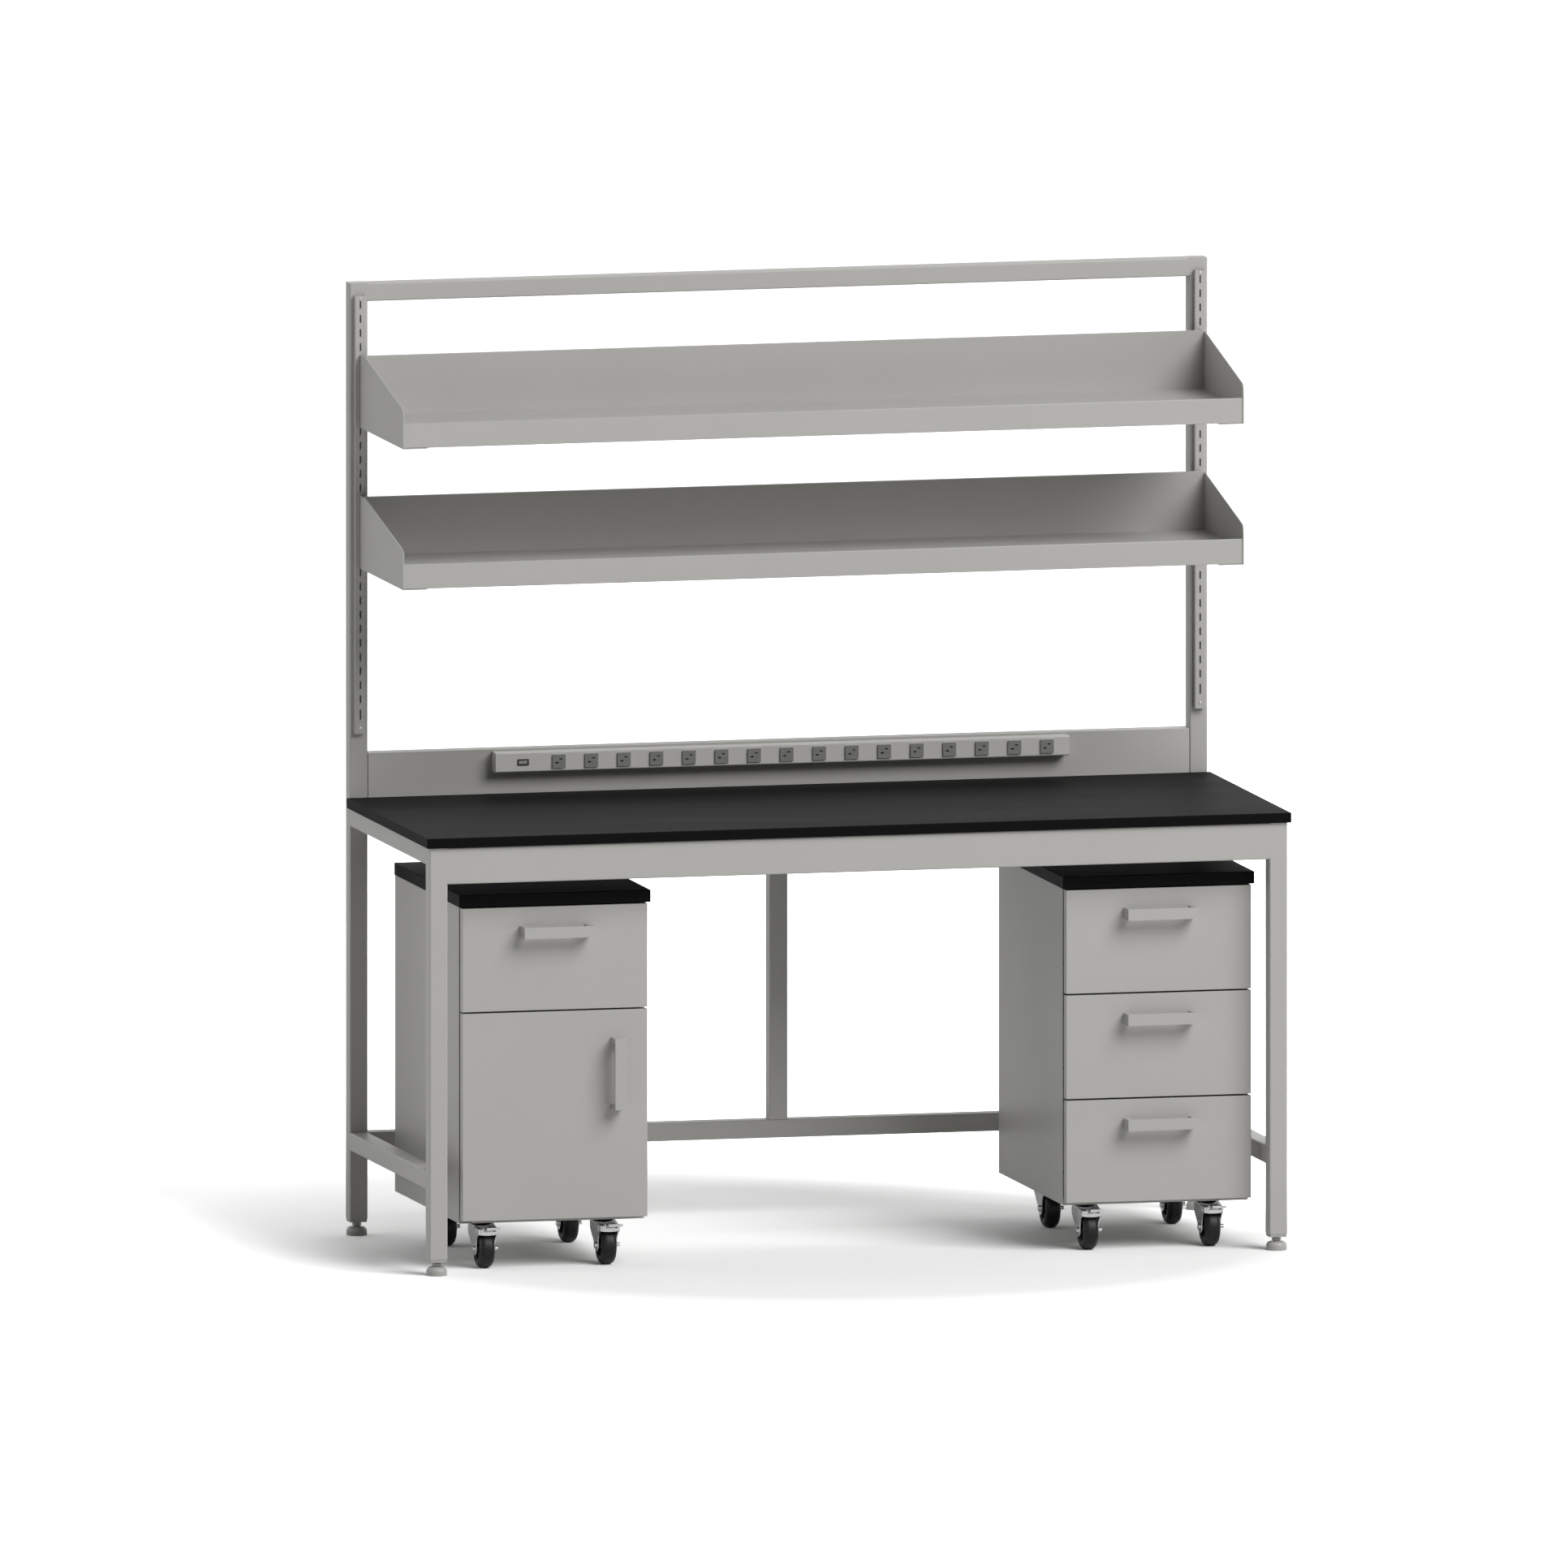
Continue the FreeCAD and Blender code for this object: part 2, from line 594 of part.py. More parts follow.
def switch_rocker():
    """Rocker pad, stored tipped to one side about its upright pivot."""
    half = BEZEL[0] / 2 - BEZEL_RIM - ROCKER_GAP
    height = BEZEL[1] / 2 - BEZEL_RIM - ROCKER_GAP
    pivot = V(SWITCH_X, STRIP_FACE + 2.5, STRIP_MIDDLE)
    low = STRIP_MIDDLE - height
    half = half - 0.5
    left = V(SWITCH_X - half, STRIP_FACE - 1.2, low)
    middle = V(SWITCH_X, STRIP_FACE - 0.2, low)
    right = V(SWITCH_X + half, STRIP_FACE - 1.2, low)
    face = Part.Arc(left, middle, right).toShape()
    back = Part.Arc(V(SWITCH_X + half, STRIP_FACE + 3.5, low),
                    V(SWITCH_X, STRIP_FACE + 6.0, low),
                    V(SWITCH_X - half, STRIP_FACE + 3.5, low)).toShape()
    sides = [Part.makeLine(right, V(SWITCH_X + half, STRIP_FACE + 3.5, low)),
             Part.makeLine(V(SWITCH_X - half, STRIP_FACE + 3.5, low), left)]
    pad = Part.Face(Part.Wire([face, sides[0], back, sides[1]])).extrude(V(0, 0, 2 * height))
    pad.rotate(pivot, ALONG_Z, -ROCKER_TILT)
    return [pad]


# ---- Pedestals -------------------------------------------------------------------
def front_bands(side):
    """The z range of each front, from the top: three drawers, or a drawer and a door."""
    bands = []
    top = FRONT_TOP
    for height in FRONT_HEIGHTS:
        bands.append((top - height, top))
        top -= height + FRONT_GAP
    return [bands[0], (bands[2][0], bands[1][1])] if side == "left" else bands


def cabinet(side):
    """Folded steel carcass, open in front, with a rail across each end of the opening."""
    middle = PEDESTAL_X[side]
    x = (middle - BODY_WIDTH / 2, middle + BODY_WIDTH / 2)
    inside_x = grown(x, -BODY_SHEET)
    inside_z = grown(BODY_Z, -BODY_SHEET)
    carcass = block(x, BODY_Y, BODY_Z)
    carcass = rounded(carcass, 1.4, ALONG_Y)
    hollow = block(inside_x, (BODY_Y[0] - 1, BODY_Y[1] - BODY_SHEET), inside_z)
    carcass = carcass.cut(hollow)
    depth, height = FRONT_RAIL
    rail_y = (BODY_Y[0], BODY_Y[0] + depth)
    extras = [block(inside_x, rail_y, (inside_z[0], inside_z[0] + height)),
              block(inside_x, rail_y, (inside_z[1] - height, inside_z[1]))]
    if side == "left":
        shelf = front_bands(side)[1][1] + 0.4
        extras.append(block(inside_x, (BODY_Y[0], BODY_Y[1] - BODY_SHEET),
                            (shelf, shelf + BODY_SHEET)))
        extras.append(block(inside_x, rail_y, (shelf - height, shelf)))
    return [fused([carcass] + extras)]


def cabinet_top(side):
    middle = PEDESTAL_X[side]
    slab = block((middle - SLAB_WIDTH / 2, middle + SLAB_WIDTH / 2), SLAB_Y,
                 (BODY_Z[1], BODY_Z[1] + SLAB_THICK))
    return [slab.makeChamfer(WORKTOP_EDGE, slab.Edges)]


def runner_heights(side):
    bands = front_bands(side)
    if side == "left":
        bands = bands[:1]
    return [band[0] + BOX_FOOT + RUNNER_RISE for band in bands]


def cabinet_runners(side):
    """The C-shaped members fixed inside the carcass, one each side of a drawer."""
    middle = PEDESTAL_X[side]
    wall = BODY_WIDTH / 2 - BODY_SHEET
    runners = []
    for z in runner_heights(side):
        for hand in (-1, 1):
            outer = (wall - RUNNER_REACH, wall)
            x = sorted(middle + hand * value for value in outer)
            band = (z - RUNNER_HEIGHT / 2, z + RUNNER_HEIGHT / 2)
            channel = block(x, RUNNER_Y, band)
            groove = sorted(middle + hand * value for value in
                            (wall - RUNNER_REACH - 1, wall - RUNNER_SHEET))
            channel = channel.cut(block(groove, grown(RUNNER_Y, 1), grown(band, -RUNNER_SHEET)))
            runners.append(channel)
    return runners


def hinge_brackets():
    """Angle plates on the carcass, each with a pin that stands into the door."""
    middle = PEDESTAL_X["left"]
    x = middle - FRONT_WIDTH / 2 + HINGE_INSET
    bottom, top = front_bands("left")[1]
    plate_x = (x - 9.0, x + 11.0)
    brackets = []
    for edge, inwards in ((top, -1), (bottom, 1)):
        near = edge - inwards * 0.7
        plate_z = sorted((near, near - inwards * HINGE_PLATE))
        plate = block(plate_x, (HINGE_Y - HINGE_R - 1, BODY_Y[0]), plate_z)
        tab_z = sorted((near, near + inwards * HINGE_BLOCK[0]))
        tab = block(plate_x, (BODY_Y[0] - HINGE_PLATE, BODY_Y[0]), tab_z)
        pin = cylinder(HINGE_R, (x, HINGE_Y, near - inwards * HINGE_PLATE / 2),
                       (x, HINGE_Y, edge + inwards * HINGE_IN_DOOR))
        brackets.append(fused([plate, tab, pin]))
    return brackets


def hollow_front(middle, band):
    """A front folded from two pans: hollow, with two drain holes in its lower edge."""
    x = (middle - FRONT_WIDTH / 2, middle + FRONT_WIDTH / 2)
    outer = block(x, FRONT_Y, band)
    outer = outer.makeFillet(FRONT_EDGE, [e for e in outer.Edges
                                          if abs(e.CenterOfMass.y - FRONT_Y[0]) < 0.01])
    inner = block(grown(x, -FRONT_SHEET), grown(FRONT_Y, -FRONT_SHEET),
                  grown(band, -FRONT_SHEET))
    drains = [cylinder(3.0, (middle + dx, sum(FRONT_Y) / 2, band[0] - 1),
                       (middle + dx, sum(FRONT_Y) / 2, band[0] + FRONT_SHEET + 1))
              for dx in (-120.0, 120.0)]
    return outer.cut(Part.makeCompound([inner] + drains))


def pull(centre_x, centre_z, upright):
    """A flat bar on two legs, bent from one strip."""
    face = FRONT_Y[0]
    out = face - PULL_REACH
    long_half = PULL_LENGTH / 2
    if upright:
        outer = around(centre_x, centre_z, PULL_WIDTH, PULL_LENGTH, (out, face))
        window = around(centre_x, centre_z, PULL_WIDTH + 2, PULL_LENGTH - 2 * PULL_LEG,
                        (out + PULL_BAR, face + 1))
        direction = ALONG_X
        corners = (lambda p: p.y < out + 0.01 and abs(abs(p.z - centre_z) - long_half) < 0.01)
    else:
        outer = around(centre_x, centre_z, PULL_LENGTH, PULL_WIDTH, (out, face))
        window = around(centre_x, centre_z, PULL_LENGTH - 2 * PULL_LEG, PULL_WIDTH + 2,
                        (out + PULL_BAR, face + 1))
        direction = ALONG_Z
        corners = (lambda p: p.y < out + 0.01 and abs(abs(p.x - centre_x) - long_half) < 0.01)
    return rounded(outer, 1.5, direction, corners).cut(window)


def drawer_front(side, band):
    middle = PEDESTAL_X[side]
    return [hollow_front(middle, band), pull(middle, band[1] - PULL_DROP, upright=False)]


def drawer_box(side, band):
    """Open-topped steel box with the moving member of a runner on each side."""
    middle = PEDESTAL_X[side]
    half = BODY_WIDTH / 2 - BODY_SHEET - RUNNER_SPACE
    x = (middle - half, middle + half)
    y = (FRONT_Y[1], BOX_BACK)
    z = (band[0] + BOX_FOOT, band[1] - BOX_HEAD)
    box = block(x, y, z).cut(block(grown(x, -BOX_SHEET), grown(y, -BOX_SHEET),
                                   (z[0] + BOX_SHEET, z[1] + 1)))
    pieces = [box]
    centre = z[0] + RUNNER_RISE
    reach = RUNNER_SPACE - RUNNER_SHEET - SLIDE_CLEARANCE * 2
    member = (centre - RUNNER_HEIGHT / 2 + RUNNER_SHEET + SLIDE_CLEARANCE,
              centre + RUNNER_HEIGHT / 2 - RUNNER_SHEET - SLIDE_CLEARANCE)
    for hand in (-1, 1):
        bar = block(sorted((middle + hand * half, middle + hand * (half + reach))), SLIDE_Y, member)
        groove = block(sorted((middle + hand * (half + RUNNER_SHEET),
                               middle + hand * (half + reach + 1))),
                       grown(SLIDE_Y, 1), grown(member, -RUNNER_SHEET))
        pieces.append(bar.cut(groove))
    return pieces


def door():
    """The cupboard's door: hollow panel, filled round its pivots, and an upright pull."""
    middle = PEDESTAL_X["left"]
    band = front_bands("left")[1]
    x = middle - FRONT_WIDTH / 2 + HINGE_INSET
    wide, tall = HINGE_BLOCK
    left_inside = middle - FRONT_WIDTH / 2 + FRONT_SHEET
    blocks = []
    bores = []
    for edge, inwards in ((band[1], -1), (band[0], 1)):
        blocks.append(block((left_inside - 0.2, left_inside + wide), grown(FRONT_Y, -0.6),
                            sorted((edge + inwards * 0.6, edge + inwards * tall))))
        bores.append(cylinder(HINGE_R + HINGE_CLEARANCE, (x, HINGE_Y, edge - inwards),
                              (x, HINGE_Y, edge + inwards * (HINGE_IN_DOOR + 0.5))))
    panel = fused([hollow_front(middle, band)] + blocks).cut(Part.makeCompound(bores))
    return [panel, pull(middle + DOOR_PULL_X, DOOR_PULL_Z, upright=True)]


# ---- Casters: drawn round their swivel axis, wheel towards -y ---------------------
def caster_base():
    """Mounting plate, ball race and kingpin, which stay still."""
    side, thick = PLATE
    plate = rounded(block((-side / 2, side / 2), (-side / 2, side / 2),
                          (BODY_Z[0] - thick, BODY_Z[0])), 6.0, ALONG_Z)
    race = cylinder(RACE_R, (0, 0, CROWN_TOP + SWIVEL_GAP), (0, 0, BODY_Z[0] - thick))
    race = race.makeFillet(RACE_EDGE, [e for e in race.Edges
                                       if e.Closed and e.CenterOfMass.z < CROWN_TOP + 1])
    pin_foot = CROWN_TOP - FORK_SHEET - SWIVEL_GAP
    pin = cylinder(KINGPIN_R, (0, 0, pin_foot - 1), (0, 0, CROWN_TOP + 2))
    head = cylinder(KINGPIN_R + 3, (0, 0, pin_foot - 2.6), (0, 0, pin_foot))
    return fused([plate, race, pin, head])


def fork_leg_outline():
    """Side view of a leg: long under the crown, curving down to the axle boss."""
    back, back_foot_z = LEG_BACK
    axle_y, axle_z = -TRAIL, WHEEL_R
    lip_foot = V(0, FORK_FRONT, LIP_BOTTOM[0])
    crown_front = V(0, FORK_FRONT, CROWN_FRONT)
    fall = V(0, CROWN_FALL_Y, CROWN_TOP)
    back_top = V(0, back, CROWN_TOP)
    back_foot = V(0, back, back_foot_z)
    boss_back = V(0, axle_y + BOSS_R, axle_z)
    boss_front = V(0, axle_y - BOSS_R, axle_z)
    return [Part.makeLine(lip_foot, crown_front),
            Part.makeLine(crown_front, fall),
            Part.makeLine(fall, back_top),
            Part.makeLine(back_top, back_foot),
            Part.Arc(back_foot, V(0, *LEG_REAR_BOW), boss_back).toShape(),
            Part.Arc(boss_back, V(0, axle_y, axle_z - BOSS_R), boss_front).toShape(),
            Part.Arc(boss_front, V(0, *LEG_FRONT_BOW), lip_foot).toShape()]


def crown_prism():
    """The crown's plan pulled upwards: round over the swivel, tapering to the front."""
    front_left, front_right = V(-FORK_HALF, FORK_FRONT, 0), V(FORK_HALF, FORK_FRONT, 0)
    left, right = V(-CROWN_R, 0, 0), V(CROWN_R, 0, 0)
    plan = [Part.makeLine(front_left, front_right), Part.makeLine(front_right, right),
            Part.Arc(right, V(0, CROWN_R, 0), left).toShape(), Part.makeLine(left, front_left)]
    return Part.Face(Part.Wire(plan)).extrude(V(0, 0, CROWN_TOP + 1))


def leg_sheet(hand):
    """A leg before its outline is cut: splayed under the crown, straight at the axle."""
    back = LEG_BACK[0] + 1
    front = FORK_FRONT
    splay = (CROWN_R - FORK_HALF) / -FORK_FRONT * (back - FORK_FRONT)
    sections = []
    for z, wider in ((CROWN_TOP - FORK_SHEET, splay), (LEG_STRAIGHT, 0.0), (0.0, 0.0)):
        outer, inner = FORK_HALF, FORK_HALF - FORK_SHEET
        corners = [(outer, front), (outer + wider, back), (inner + wider, back), (inner, front)]
        points = [V(hand * x, y, z) for x, y in corners]
        sections.append(Part.makePolygon(points + points[:1]))
    return Part.makeLoft(sections, True, True)


def fork_shell():
    """The pressed sheet: crown, front lip with a bowed lower edge, and two legs."""
    front = FORK_FRONT
    behind = CROWN_R + 1
    side_view = [(front, CROWN_FRONT), (CROWN_FALL_Y, CROWN_TOP), (behind, CROWN_TOP),
                 (behind, CROWN_TOP - FORK_SHEET), (CROWN_FALL_Y, CROWN_TOP - FORK_SHEET),
                 (front, CROWN_FRONT - FORK_SHEET)]
    crown = crown_prism().common(prism_x(side_view, (-CROWN_R - 1, CROWN_R + 1)))
    end_z, middle_z = LIP_BOTTOM
    left_foot, right_foot = V(-FORK_HALF, front, end_z), V(FORK_HALF, front, end_z)
    left_top, right_top = V(-FORK_HALF, front, CROWN_FRONT), V(FORK_HALF, front, CROWN_FRONT)
    edge = [Part.Arc(left_foot, V(0, front, middle_z), right_foot).toShape(),
            Part.makeLine(right_foot, right_top), Part.makeLine(right_top, left_top),
            Part.makeLine(left_top, left_foot)]
    lip = Part.Face(Part.Wire(edge)).extrude(V(0, FORK_SHEET, 0))
    pip_x, pip_z, pip_r = LIP_PIP
    pip = Part.makeSphere(pip_r, V(pip_x, front + pip_r / 4, pip_z))
    profile = Part.Face(Part.Wire(fork_leg_outline())).extrude(V(2 * CROWN_R + 10, 0, 0))
    profile.translate(V(-CROWN_R - 5, 0, 0))
    legs = [leg_sheet(hand).common(profile).common(crown_prism()) for hand in (-1, 1)]
    return fused([crown, lip, pip] + legs)


def caster_fork(braked):
    """Pressed fork, its axle bolt and the nut; a braked fork has a window for the pedal."""
    axle_y, axle_z = -TRAIL, WHEEL_R
    holes = [cylinder(AXLE_R + AXLE_CLEARANCE, (-30, axle_y, axle_z), (30, axle_y, axle_z)),
             cylinder(KINGPIN_R + AXLE_CLEARANCE, (0, 0, 70), (0, 0, 95))]
    if braked:
        holes.append(block(WINDOW_X, (FORK_FRONT - 1, WINDOW_REAR), (WINDOW_FLOOR, CROWN_TOP + 1)))
        holes.append(cylinder(PEDAL_PIN_R, (-30, *PEDAL_PIVOT), (30, *PEDAL_PIVOT)))
    fork = fork_shell().cut(Part.makeCompound(holes))
    nut_end = FORK_HALF + NUT_LENGTH
    thread_end = nut_end - 2 * NUT_DOME
    flats, thick = BOLT_HEAD
    bolt = fused([cylinder(AXLE_R, (-FORK_HALF - 1, axle_y, axle_z), (thread_end, axle_y, axle_z)),
                  hexagon(flats, (-FORK_HALF - thick, axle_y, axle_z),
                          (-FORK_HALF, axle_y, axle_z))])
    nut = cylinder(NUT_R, (FORK_HALF, axle_y, axle_z), (nut_end, axle_y, axle_z))
    nut = nut.makeFillet(NUT_DOME, [e for e in nut.Edges
                                    if e.Closed and e.CenterOfMass.x > nut_end - 0.01])
    nut = nut.cut(cylinder(AXLE_R, (0, axle_y, axle_z), (thread_end, axle_y, axle_z)))
    pieces = [fork, bolt, nut]
    if braked:
        pieces.append(cylinder(PEDAL_PIN_R, (-FORK_HALF, *PEDAL_PIVOT), (FORK_HALF, *PEDAL_PIVOT)))
    return pieces


def caster_wheel():
    """Rubber tread on a dished plastic wheel with a bored hub."""
    half = WHEEL_WIDTH / 2
    shoulder = WHEEL_R - TREAD_CORNER
    bend = TREAD_CORNER * math.sqrt(0.5)
    tread = [Part.makeLine(V(-half, 0, RIM_R), V(-half, 0, shoulder)),
             Part.Arc(V(-half, 0, shoulder),
                      V(-half + TREAD_CORNER - bend, 0, shoulder + bend),
                      V(-half + TREAD_CORNER, 0, WHEEL_R)).toShape(),
             Part.makeLine(V(-half + TREAD_CORNER, 0, WHEEL_R), V(half - TREAD_CORNER, 0, WHEEL_R)),
             Part.Arc(V(half - TREAD_CORNER, 0, WHEEL_R),
                      V(half - TREAD_CORNER + bend, 0, shoulder + bend),
                      V(half, 0, shoulder)).toShape(),
             Part.makeLine(V(half, 0, shoulder), V(half, 0, RIM_R)),
             Part.makeLine(V(half, 0, RIM_R), V(-half, 0, RIM_R))]
    tyre = Part.Face(Part.Wire(tread)).revolve(V(0, 0, 0), ALONG_X, 360)
    disc = half - 8.0
    hub_half = HUB_WIDTH / 2
    bore = AXLE_R + AXLE_CLEARANCE
    side = [(-half + 1, RIM_R), (-half + 1, RIM_R - 4), (-disc, RIM_R - 7), (-disc, HUB_R + 2),
            (-hub_half, HUB_R), (-hub_half, bore)]
    outline = side + [(-x, r) for x, r in reversed(side)]
    points = [V(x, 0, r) for x, r in outline]
    wheel = Part.Face(Part.makePolygon(points + points[:1])).revolve(V(0, 0, 0), ALONG_X, 360)
    for shape in (tyre, wheel):
        shape.translate(V(0, -TRAIL, WHEEL_R))
    return [tyre, wheel]


def brake_pedal():
    """Toe pedal on a pin across the fork, with the shoe that meets the tread below it."""
    pivot_y, pivot_z = PEDAL_PIVOT
    hub = cylinder(PEDAL_HUB_R, (PEDAL_SPAN[0], pivot_y, pivot_z),
                   (PEDAL_SPAN[1], pivot_y, pivot_z))
    shoe = block(PEDAL_SPAN, SHOE_Y, (SHOE_BOTTOM, pivot_z))
    arm = block(PEDAL_SPAN, (PEDAL_TOE_Y[1] - 2, pivot_y), PEDAL_Z)
    toe = block(PEDAL_TOE_X, PEDAL_TOE_Y, PEDAL_Z)
    curl_thick, curl_top = PEDAL_CURL
    curl = block(PEDAL_TOE_X, (PEDAL_TOE_Y[0], PEDAL_TOE_Y[0] + curl_thick),
                 (PEDAL_Z[0], curl_top))
    pedal = fused([hub, shoe, arm, toe, curl])
    return [pedal.cut(cylinder(PEDAL_PIN_R + AXLE_CLEARANCE, (-30, *PEDAL_PIVOT),
                               (30, *PEDAL_PIVOT)))]


def caster_places(side):
    """Name and swivel point of a pedestal's four casters."""
    for row, (shift, y) in CASTER_ROWS.items():
        for hand, dx in zip(("left", "right"), CASTER_X):
            yield side + "_" + row + "_" + hand, V(PEDESTAL_X[side] + shift + dx, y, 0)


def placed(shapes, at):
    return [shape.translated(at) for shape in shapes]


# ---- Writing the nodes -----------------------------------------------------------
def save_bench():
    pieces = [front_legs, rear_posts, top_crossbar, front_apron, side_rails, rear_rails,
              worktop, back_panel, slotted_standards, bench_screws, leg_end_plugs,
              outlet_strip_housing, outlet_sockets, switch_bezel, switch_rocker]
    for piece in pieces:
        save(piece.__name__, piece())
    for row, y in zip(("front", "rear"), FOOT_Y):
        for hand, x in (("left", -STANDARD_X), ("right", STANDARD_X)):
            save("foot_" + row + "_" + hand, levelling_foot(x, y))
    for level, steps in (("upper", 0), ("lower", 10)):
        floor = SHELF_FLOOR - steps * SLOT_PITCH
        save(level + "_shelf_tray", shelf_tray(floor))
        save(level + "_shelf_brackets", shelf_brackets(floor, steps))


def save_pedestal(side):
    save(side + "_cabinet", cabinet(side))
    save(side + "_cabinet_top", cabinet_top(side))
    if side == "left":
        save("left_cabinet_fittings", cabinet_runners(side) + hinge_brackets())
    else:
        save("right_cabinet_runners", cabinet_runners(side))
    bases = []
    for name, at in caster_places(side):
        braked = "front" in name
        bases += placed([caster_base()], at)
        save(name + "_fork", placed(caster_fork(braked), at))
        save(name + "_wheel", placed(caster_wheel(), at))
        if braked:
            save(name + "_brake", placed(brake_pedal(), at))
    save(side + "_caster_bases", bases)


def save_drawers():
    top, door_band = front_bands("left")
    save("left_drawer_front", drawer_front("left", top))
    save("left_drawer_box", drawer_box("left", top))
    save("left_door", door())
    for level, band in zip(("top", "middle", "bottom"), front_bands("right")):
        save("right_" + level + "_drawer_front", drawer_front("right", band))
        save("right_" + level + "_drawer_box", drawer_box("right", band))


os.makedirs("parts", exist_ok=True)
save_bench()
save_pedestal("left")
save_pedestal("right")
save_drawers()
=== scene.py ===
# %% [markdown]
# # A laboratory bench with reagent shelves
#
# The bench is a welded frame of square steel tube, powder coated in a warm light grey. It
# carries a black resin worktop, two folded shelves that hook into slotted standards, an outlet
# strip, and two pedestals on casters. The solids of all these pieces come from the packed
# model, in metres and in place. This script gives them their finish, eases their edges, and
# sets up the floor, the light and the camera.
#
# The first cell loads the solids and bakes each one's placement into its mesh.

# %% Load the frame
import json
import math
import bpy
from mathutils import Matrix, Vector

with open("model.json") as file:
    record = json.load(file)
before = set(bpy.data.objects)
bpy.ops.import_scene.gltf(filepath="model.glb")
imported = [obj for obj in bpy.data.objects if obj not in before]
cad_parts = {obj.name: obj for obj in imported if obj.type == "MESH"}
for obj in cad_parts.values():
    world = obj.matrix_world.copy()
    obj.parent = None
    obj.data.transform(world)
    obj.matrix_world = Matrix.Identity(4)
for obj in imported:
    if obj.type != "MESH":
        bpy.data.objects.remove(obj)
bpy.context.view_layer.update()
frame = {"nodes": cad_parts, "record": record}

nodes = frame["nodes"]

# %% [markdown]
# ## The camera
#
# A long lens from far away flattens a product picture, so that parallel rails stay parallel.
# An orthographic camera is the limit of that. It stands a little to the left of the bench and
# looks slightly down. Its aim is the point of the bench that lands in the picture's middle.

# %% Camera
AZIMUTH = math.radians(-13.8)
ELEVATION = math.radians(7.15)
PICTURE_WIDTH = 3.2471          # metres of scene across the picture
AIM = Vector((-0.1592, -0.3636, 1.0056))
CAMERA_DISTANCE = 9.0

back = Vector((math.sin(AZIMUTH) * math.cos(ELEVATION),
               -math.cos(AZIMUTH) * math.cos(ELEVATION),
               math.sin(ELEVATION)))
camera_data = bpy.data.cameras.new("camera")
camera_data.type = "ORTHO"
camera_data.ortho_scale = PICTURE_WIDTH
camera_data.clip_end = 100.0
camera = bpy.data.objects.new("camera", camera_data)
camera.location = AIM + back * CAMERA_DISTANCE
camera.rotation_mode = "QUATERNION"
camera.rotation_quaternion = (-back).to_track_quat("-Z", "Y")
bpy.context.scene.collection.objects.link(camera)
bpy.context.scene.camera = camera
bpy.context.scene.view_settings.view_transform = "Standard"
print("camera looks along", tuple(round(v, 3) for v in -back))

# %% [markdown]
# ## Writing shaders as sums
#
# A shader is easier to read as `0.4 + 0.1 * noise` than as a list of nodes and links. The class
# `Wire` holds one output socket and gives it the operators that the finishes below use. Each
# operator adds one Math node. `Nodes.node` adds any other node: first its settings, then the
# values or links of its sockets.

# %% Shader helpers
def feed(socket, value):
    """Link a wire to a socket, or set the socket's own value."""
    if isinstance(value, Wire):
        socket.id_data.links.new(value.socket, socket)
    else:
        socket.default_value = value


class Wire:
    """An output socket that can stand in a sum."""

    def __init__(self, socket):
        self.socket = socket

    def _maths(self, operation, first, second):
        node = self.socket.id_data.nodes.new("ShaderNodeMath")
        node.operation = operation
        feed(node.inputs[0], first)
        feed(node.inputs[1], second)
        return Wire(node.outputs[0])

    def __add__(self, other):
        return self._maths("ADD", self, other)

    def __radd__(self, other):
        return self._maths("ADD", other, self)

    def __sub__(self, other):
        return self._maths("SUBTRACT", self, other)

    def __rsub__(self, other):
        return self._maths("SUBTRACT", other, self)

    def __mul__(self, other):
        return self._maths("MULTIPLY", self, other)

    def __rmul__(self, other):
        return self._maths("MULTIPLY", other, self)


class Nodes:
    """A node tree that is filled by calls to node()."""

    def __init__(self, tree):
        self.tree = tree

    def node(self, kind, settings=None, sockets=None, output=0):
        node = self.tree.nodes.new(kind)
        for name, value in (settings or {}).items():
            setattr(node, name, value)
        for name, value in (sockets or {}).items():
            feed(node.inputs[name], value)
        return Wire(node.outputs[output])


class Finish(Nodes):
    """A Principled material; what is the same all over is set on its own sockets."""

    def __init__(self, name, **constants):
        self.material = bpy.data.materials.new(name)
        self.material.use_nodes = True
        super().__init__(self.material.node_tree)
        self.shader = self.tree.nodes["Principled BSDF"]
        self.set(**constants)
        self.place = self.node("ShaderNodeTexCoord", output="Object")

    def set(self, **values):
        for name, value in values.items():
            feed(self.shader.inputs[name.replace("_", " ")], value)

    def noise(self, scale, detail=2.0, stretch=(1.0, 1.0, 1.0)):
        """Soft random values round 0.5, with features about 1 / scale metres across."""
        place = self.node("ShaderNodeVectorMath", {"operation": "MULTIPLY"},
                          {0: self.place, 1: stretch})
        return self.node("ShaderNodeTexNoise", None,
                         {"Vector": place, "Scale": scale, "Detail": detail})

    def blend(self, factor, first, second):
        """A colour between two colours."""
        return self.node("ShaderNodeMix", {"data_type": "RGBA"},
                         {0: factor, 6: first, 7: second}, output=2)

    def bump(self, height, depth):
        """Raise the surface by up to depth metres where height is 1."""
        normal = self.node("ShaderNodeBump", None,
                           {"Height": height, "Distance": depth, "Strength": 1.0})
        self.set(Normal=normal)


def grey(value, warmth=0.0):
    """A linear grey, a little warm where warmth is above 0."""
    return (value * (1 + warmth), value, value * (1 - 3 * warmth), 1.0)


print("shader helpers ready")

# %% [markdown]
# ## Powder coat
#
# The frame, shelves and pedestals are powder coated. The powder melts into a skin that is
# never quite flat: it has a fine orange peel, a faint cloudiness in its colour where the film
# is thicker or thinner, and a sheen that varies a little. Two noises give the clouds and the
# peel. The peel goes to the bump only, at a real height of a few hundredths of a millimetre.

# %% Powder coat
PAINT_GREY = 0.43
PAINT_WARMTH = 0.014


